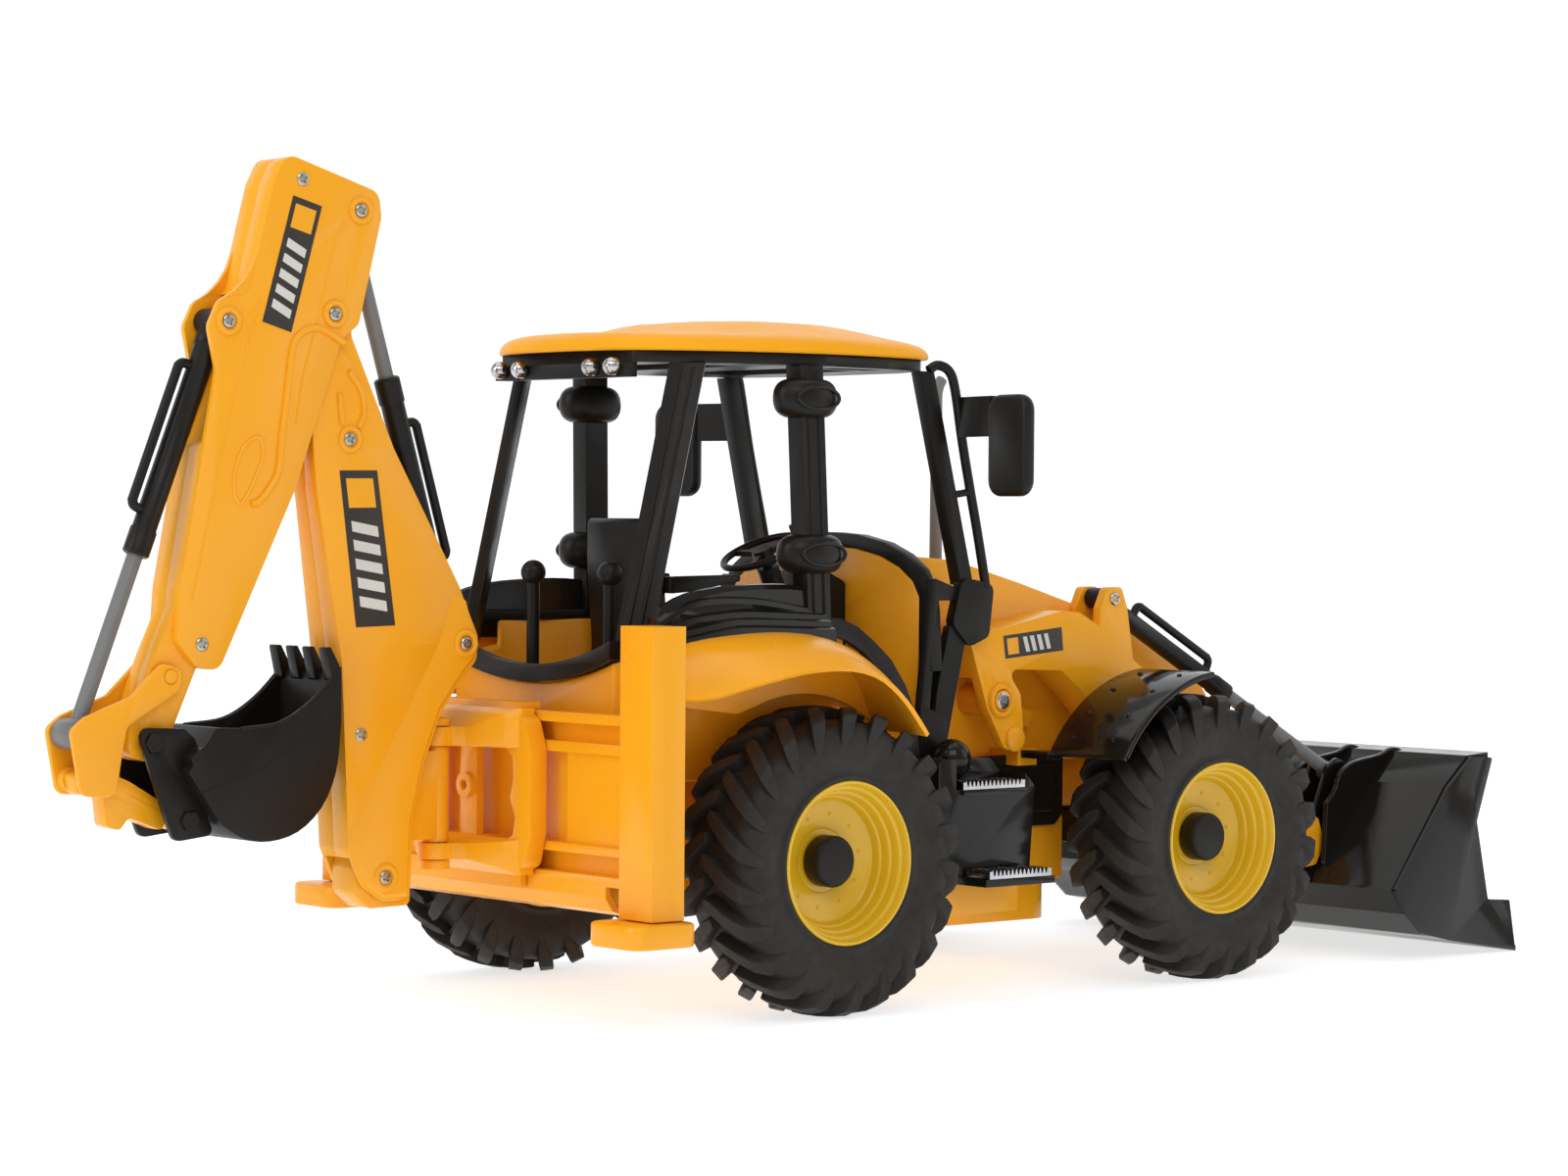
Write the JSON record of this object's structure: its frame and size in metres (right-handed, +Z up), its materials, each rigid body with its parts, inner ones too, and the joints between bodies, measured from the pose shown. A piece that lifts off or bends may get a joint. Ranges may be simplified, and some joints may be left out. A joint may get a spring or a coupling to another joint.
{
  "type": "toy backhoe loader",
  "caption": "Wheeled toy backhoe loader with open cab, hinged front loader bucket, sliding stabiliser legs and a slewing rear digging arm.",
  "frame": {"origin": "on the ground plane, at the middle of the overall length and width", "axes": "+X forward along the machine's length, +Y to its left, +Z up"},
  "size_m": [0.5016, 0.1748, 0.2392],
  "materials": {
    "yellow_plastic": "glossy",
    "black_plastic": "satin",
    "rim_plastic": "glossy",
    "tyre_rubber": "matte",
    "grey_plastic": "satin",
    "steel": "brushed",
    "chrome": "polished"
  },
  "bodies": {
    "machine": {"chassis_frame": "yellow_plastic", "rear_frame": "yellow_plastic", "cab_tub": "yellow_plastic", "cab_consoles": "black_plastic", "cab_frame": "black_plastic", "cowl": "yellow_plastic", "grab_rails": "black_plastic", "mirrors": "black_plastic", "roof": "yellow_plastic", "roof_liner": "black_plastic", "work_lights": "chrome", "seat": "black_plastic", "steering_column": "black_plastic", "bonnet": "yellow_plastic", "front_grille": "black_plastic", "exhaust": "grey_plastic", "rear_fenders": "yellow_plastic", "front_fenders": "black_plastic", "step_boxes": "black_plastic", "step_treads": "chrome", "rear_axle": "steel", "rear_hub_caps": "black_plastic", "front_axle": "black_plastic", "loader_towers": "yellow_plastic"},
    "wheel_rear_left": {"tyre_rear_left": "tyre_rubber", "rim_rear_left": "rim_plastic"},
    "wheel_rear_right": {"tyre_rear_right": "tyre_rubber", "rim_rear_right": "rim_plastic"},
    "wheel_front_left": {"tyre_front_left": "tyre_rubber", "rim_front_left": "rim_plastic"},
    "wheel_front_right": {"tyre_front_right": "tyre_rubber", "rim_front_right": "rim_plastic"},
    "steered_left": {"knuckle_left": "black_plastic", "front_hub_cap_left": "black_plastic"},
    "steered_right": {"knuckle_right": "black_plastic", "front_hub_cap_right": "black_plastic"},
    "steering": {"steering_wheel": "black_plastic"},
    "lever_left": {"control_lever_left": "black_plastic"},
    "lever_right": {"control_lever_right": "black_plastic"},
    "leg_left": {"stabiliser_left": "yellow_plastic"},
    "leg_right": {"stabiliser_right": "yellow_plastic"},
    "carriage": {"kingpost_carriage": "yellow_plastic"},
    "swing": {"swing_post": "yellow_plastic"},
    "boom": {"boom_shell_left": "yellow_plastic", "boom_shell_right": "yellow_plastic", "boom_screws": "steel"},
    "dipper": {"dipper_shell_left": "yellow_plastic", "dipper_shell_right": "yellow_plastic", "dipper_screws": "steel"},
    "dipper_barrel": {"dipper_ram_barrel": "black_plastic"},
    "dipper_rod": {"dipper_ram_rod": "grey_plastic"},
    "bucket_barrel": {"bucket_ram_barrel": "black_plastic"},
    "bucket_rod": {"bucket_ram_rod": "grey_plastic"},
    "crank": {"bucket_crank": "yellow_plastic"},
    "link": {"bucket_link": "yellow_plastic"},
    "dig_bucket": {"digging_bucket": "black_plastic"},
    "loader": {"loader_arm": "yellow_plastic"},
    "front_bucket": {"loader_bucket": "black_plastic"},
    "tilt_barrels": {"tilt_ram_barrels": "black_plastic"},
    "tilt_rods": {"tilt_ram_rods": "grey_plastic"}
  },
  "joints": [
    {"name": "rear_left_wheel", "type": "hinge", "parent": "machine", "child": "wheel_rear_left", "pos_m": [-0.0447, 0.0705, 0.044], "axis": [0, 1, 0], "continuous": true},
    {"name": "rear_right_wheel", "type": "hinge", "parent": "machine", "child": "wheel_rear_right", "pos_m": [-0.0447, -0.0705, 0.044], "axis": [0, 1, 0], "continuous": true},
    {"name": "steer_left", "type": "hinge", "parent": "machine", "child": "steered_left", "pos_m": [0.1083, 0.05, 0.044], "axis": [0, 0, 1], "range_deg": [-12, 12]},
    {"name": "steer_right", "type": "hinge", "parent": "machine", "child": "steered_right", "pos_m": [0.1083, -0.05, 0.044], "axis": [0, 0, 1], "range_deg": [-12, 12]},
    {"name": "front_left_wheel", "type": "hinge", "parent": "steered_left", "child": "wheel_front_left", "pos_m": [0.1083, 0.0705, 0.044], "axis": [0, 1, 0], "continuous": true},
    {"name": "front_right_wheel", "type": "hinge", "parent": "steered_right", "child": "wheel_front_right", "pos_m": [0.1083, -0.0705, 0.044], "axis": [0, 1, 0], "continuous": true},
    {"name": "steering_wheel_turn", "type": "hinge", "parent": "machine", "child": "steering", "pos_m": [-0.0077, 0, 0.131], "axis": [-0.4067, 0, 0.9135], "continuous": true},
    {"name": "lever_left_tilt", "type": "hinge", "parent": "machine", "child": "lever_left", "pos_m": [-0.0807, 0.0184, 0.076], "axis": [0, 1, 0], "range_deg": [-12, 12]},
    {"name": "lever_right_tilt", "type": "hinge", "parent": "machine", "child": "lever_right", "pos_m": [-0.0807, -0.0184, 0.076], "axis": [0, 1, 0], "range_deg": [-12, 12]},
    {"name": "leg_left_slide", "type": "slide", "parent": "machine", "child": "leg_left", "axis": [0, 0, -1], "range_m": [0, 0.024]},
    {"name": "leg_right_slide", "type": "slide", "parent": "machine", "child": "leg_right", "axis": [0, 0, -1], "range_m": [0, 0.024]},
    {"name": "carriage_shift", "type": "slide", "parent": "machine", "child": "carriage", "axis": [0, 1, 0], "range_m": [-0.03, 0.03]},
    {"name": "slew", "type": "hinge", "parent": "carriage", "child": "swing", "pos_m": [-0.1287, 0, 0.06], "axis": [0, 0, 1], "range_deg": [-45, 45]},
    {"name": "boom_swing", "type": "hinge", "parent": "swing", "child": "boom", "pos_m": [-0.1514, 0, 0.0402], "axis": [0, -1, 0], "range_deg": [0, 50]},
    {"name": "dipper_swing", "type": "hinge", "parent": "boom", "child": "dipper", "pos_m": [-0.1685, 0, 0.1967], "axis": [0, 1, 0], "range_deg": [0, 60]},
    {"name": "dipper_ram_tilt", "type": "hinge", "parent": "boom", "child": "dipper_barrel", "pos_m": [-0.1242, 0, 0.1051], "axis": [0, 1, 0], "range_deg": [0, 8.1]},
    {"name": "dipper_ram_slide", "type": "slide", "parent": "dipper_barrel", "child": "dipper_rod", "axis": [-0.2853, 0, 0.9584], "range_m": [-0.0262, 0]},
    {"name": "bucket_curl", "type": "hinge", "parent": "dipper", "child": "dig_bucket", "pos_m": [-0.2269, 0, 0.0801], "axis": [0, 1, 0], "range_deg": [0, 75]},
    {"name": "crank_turn", "type": "hinge", "parent": "dipper", "child": "crank", "pos_m": [-0.2204, 0, 0.0976], "axis": [0, 1, 0], "range_deg": [0, 40.5]},
    {"name": "link_turn", "type": "hinge", "parent": "crank", "child": "link", "pos_m": [-0.2442, 0, 0.0703], "axis": [0, 1, 0], "range_deg": [0, 5.3]},
    {"name": "bucket_ram_tilt", "type": "hinge", "parent": "dipper", "child": "bucket_barrel", "pos_m": [-0.2029, 0, 0.1935], "axis": [0, 1, 0], "range_deg": [0, 6.1]},
    {"name": "bucket_ram_slide", "type": "slide", "parent": "bucket_barrel", "child": "bucket_rod", "axis": [-0.3615, 0, -0.9324], "range_m": [-0.017, 0]},
    {"name": "arm_lift", "type": "hinge", "parent": "machine", "child": "loader", "pos_m": [0.0489, 0, 0.0863], "axis": [0, -1, 0], "range_deg": [0, 45]},
    {"name": "front_bucket_tilt", "type": "hinge", "parent": "loader", "child": "front_bucket", "pos_m": [0.1883, 0, 0.036], "axis": [0, -1, 0], "range_deg": [-45, 10]},
    {"name": "tilt_ram_swing", "type": "hinge", "parent": "loader", "child": "tilt_barrels", "pos_m": [0.0977, 0, 0.117], "axis": [0, -1, 0], "range_deg": [-4, 1]},
    {"name": "tilt_ram_slide", "type": "slide", "parent": "tilt_barrels", "child": "tilt_rods", "axis": [0.8803, 0, -0.4745], "range_m": [-0.0046, 0.0202]}
  ],
  "couplings": [
    {"joint": "steer_right", "follows": "steer_left", "ratio": 1},
    {"joint": "dipper_ram_tilt", "follows": "dipper_swing", "ratio": 0.13258},
    {"joint": "dipper_ram_slide", "follows": "dipper_swing", "m_per_rad": -0.024709},
    {"joint": "crank_turn", "follows": "bucket_curl", "ratio": 0.5375},
    {"joint": "link_turn", "follows": "bucket_curl", "ratio": 0.0686},
    {"joint": "bucket_ram_tilt", "follows": "bucket_curl", "ratio": 0.0798},
    {"joint": "bucket_ram_slide", "follows": "bucket_curl", "m_per_rad": -0.012857},
    {"joint": "tilt_ram_swing", "follows": "front_bucket_tilt", "ratio": 0.088},
    {"joint": "tilt_ram_slide", "follows": "front_bucket_tilt", "m_per_rad": -0.025497}
  ]
}
